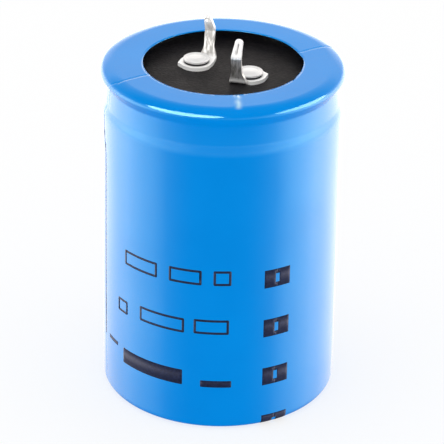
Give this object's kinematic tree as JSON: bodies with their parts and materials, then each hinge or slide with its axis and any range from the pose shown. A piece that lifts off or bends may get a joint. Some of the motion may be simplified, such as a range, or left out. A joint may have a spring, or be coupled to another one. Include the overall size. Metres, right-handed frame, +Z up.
{
  "type": "electrolytic capacitor",
  "caption": "Round can-shaped electrolytic capacitor in a blue sleeve, with snap-in solder tags on its black sealing deck and a wound element inside.",
  "frame": {"origin": "middle of the base, on the surface that the capacitor stands on", "axes": "+Z up the can's axis towards the tags; the negative tag and the marked side of the sleeve are on the -Y side"},
  "size_m": [0.0358, 0.0358, 0.0575],
  "materials": {
    "sleeve": "glossy blue shrink film",
    "end_disc": "glossy",
    "can": "drawn, satin",
    "seal_rubber": "matte, finely textured",
    "deck_board": "laminate",
    "tag": "tinned, bright",
    "rivet": "satin",
    "washer": "satin",
    "foil_lead": "satin foil",
    "paper": "plain",
    "winding": "foil and paper turns",
    "tape": "adhesive tape"
  },
  "bodies": {
    "root": {"sleeve": "sleeve", "end_disc": "end_disc", "can": "can", "seal_rubber": "seal_rubber", "deck_board": "deck_board", "tag_negative": "tag", "tag_positive": "tag", "rivet_negative": "rivet", "rivet_positive": "rivet", "washer_negative": "washer", "washer_positive": "washer", "cathode_lead_outer": "foil_lead", "cathode_lead_inner": "foil_lead", "anode_lead_outer": "foil_lead", "anode_lead_inner": "foil_lead", "lead_guard": "paper", "winding": "winding", "closing_tape": "tape", "base_paper": "paper"}
  },
  "joints": []
}
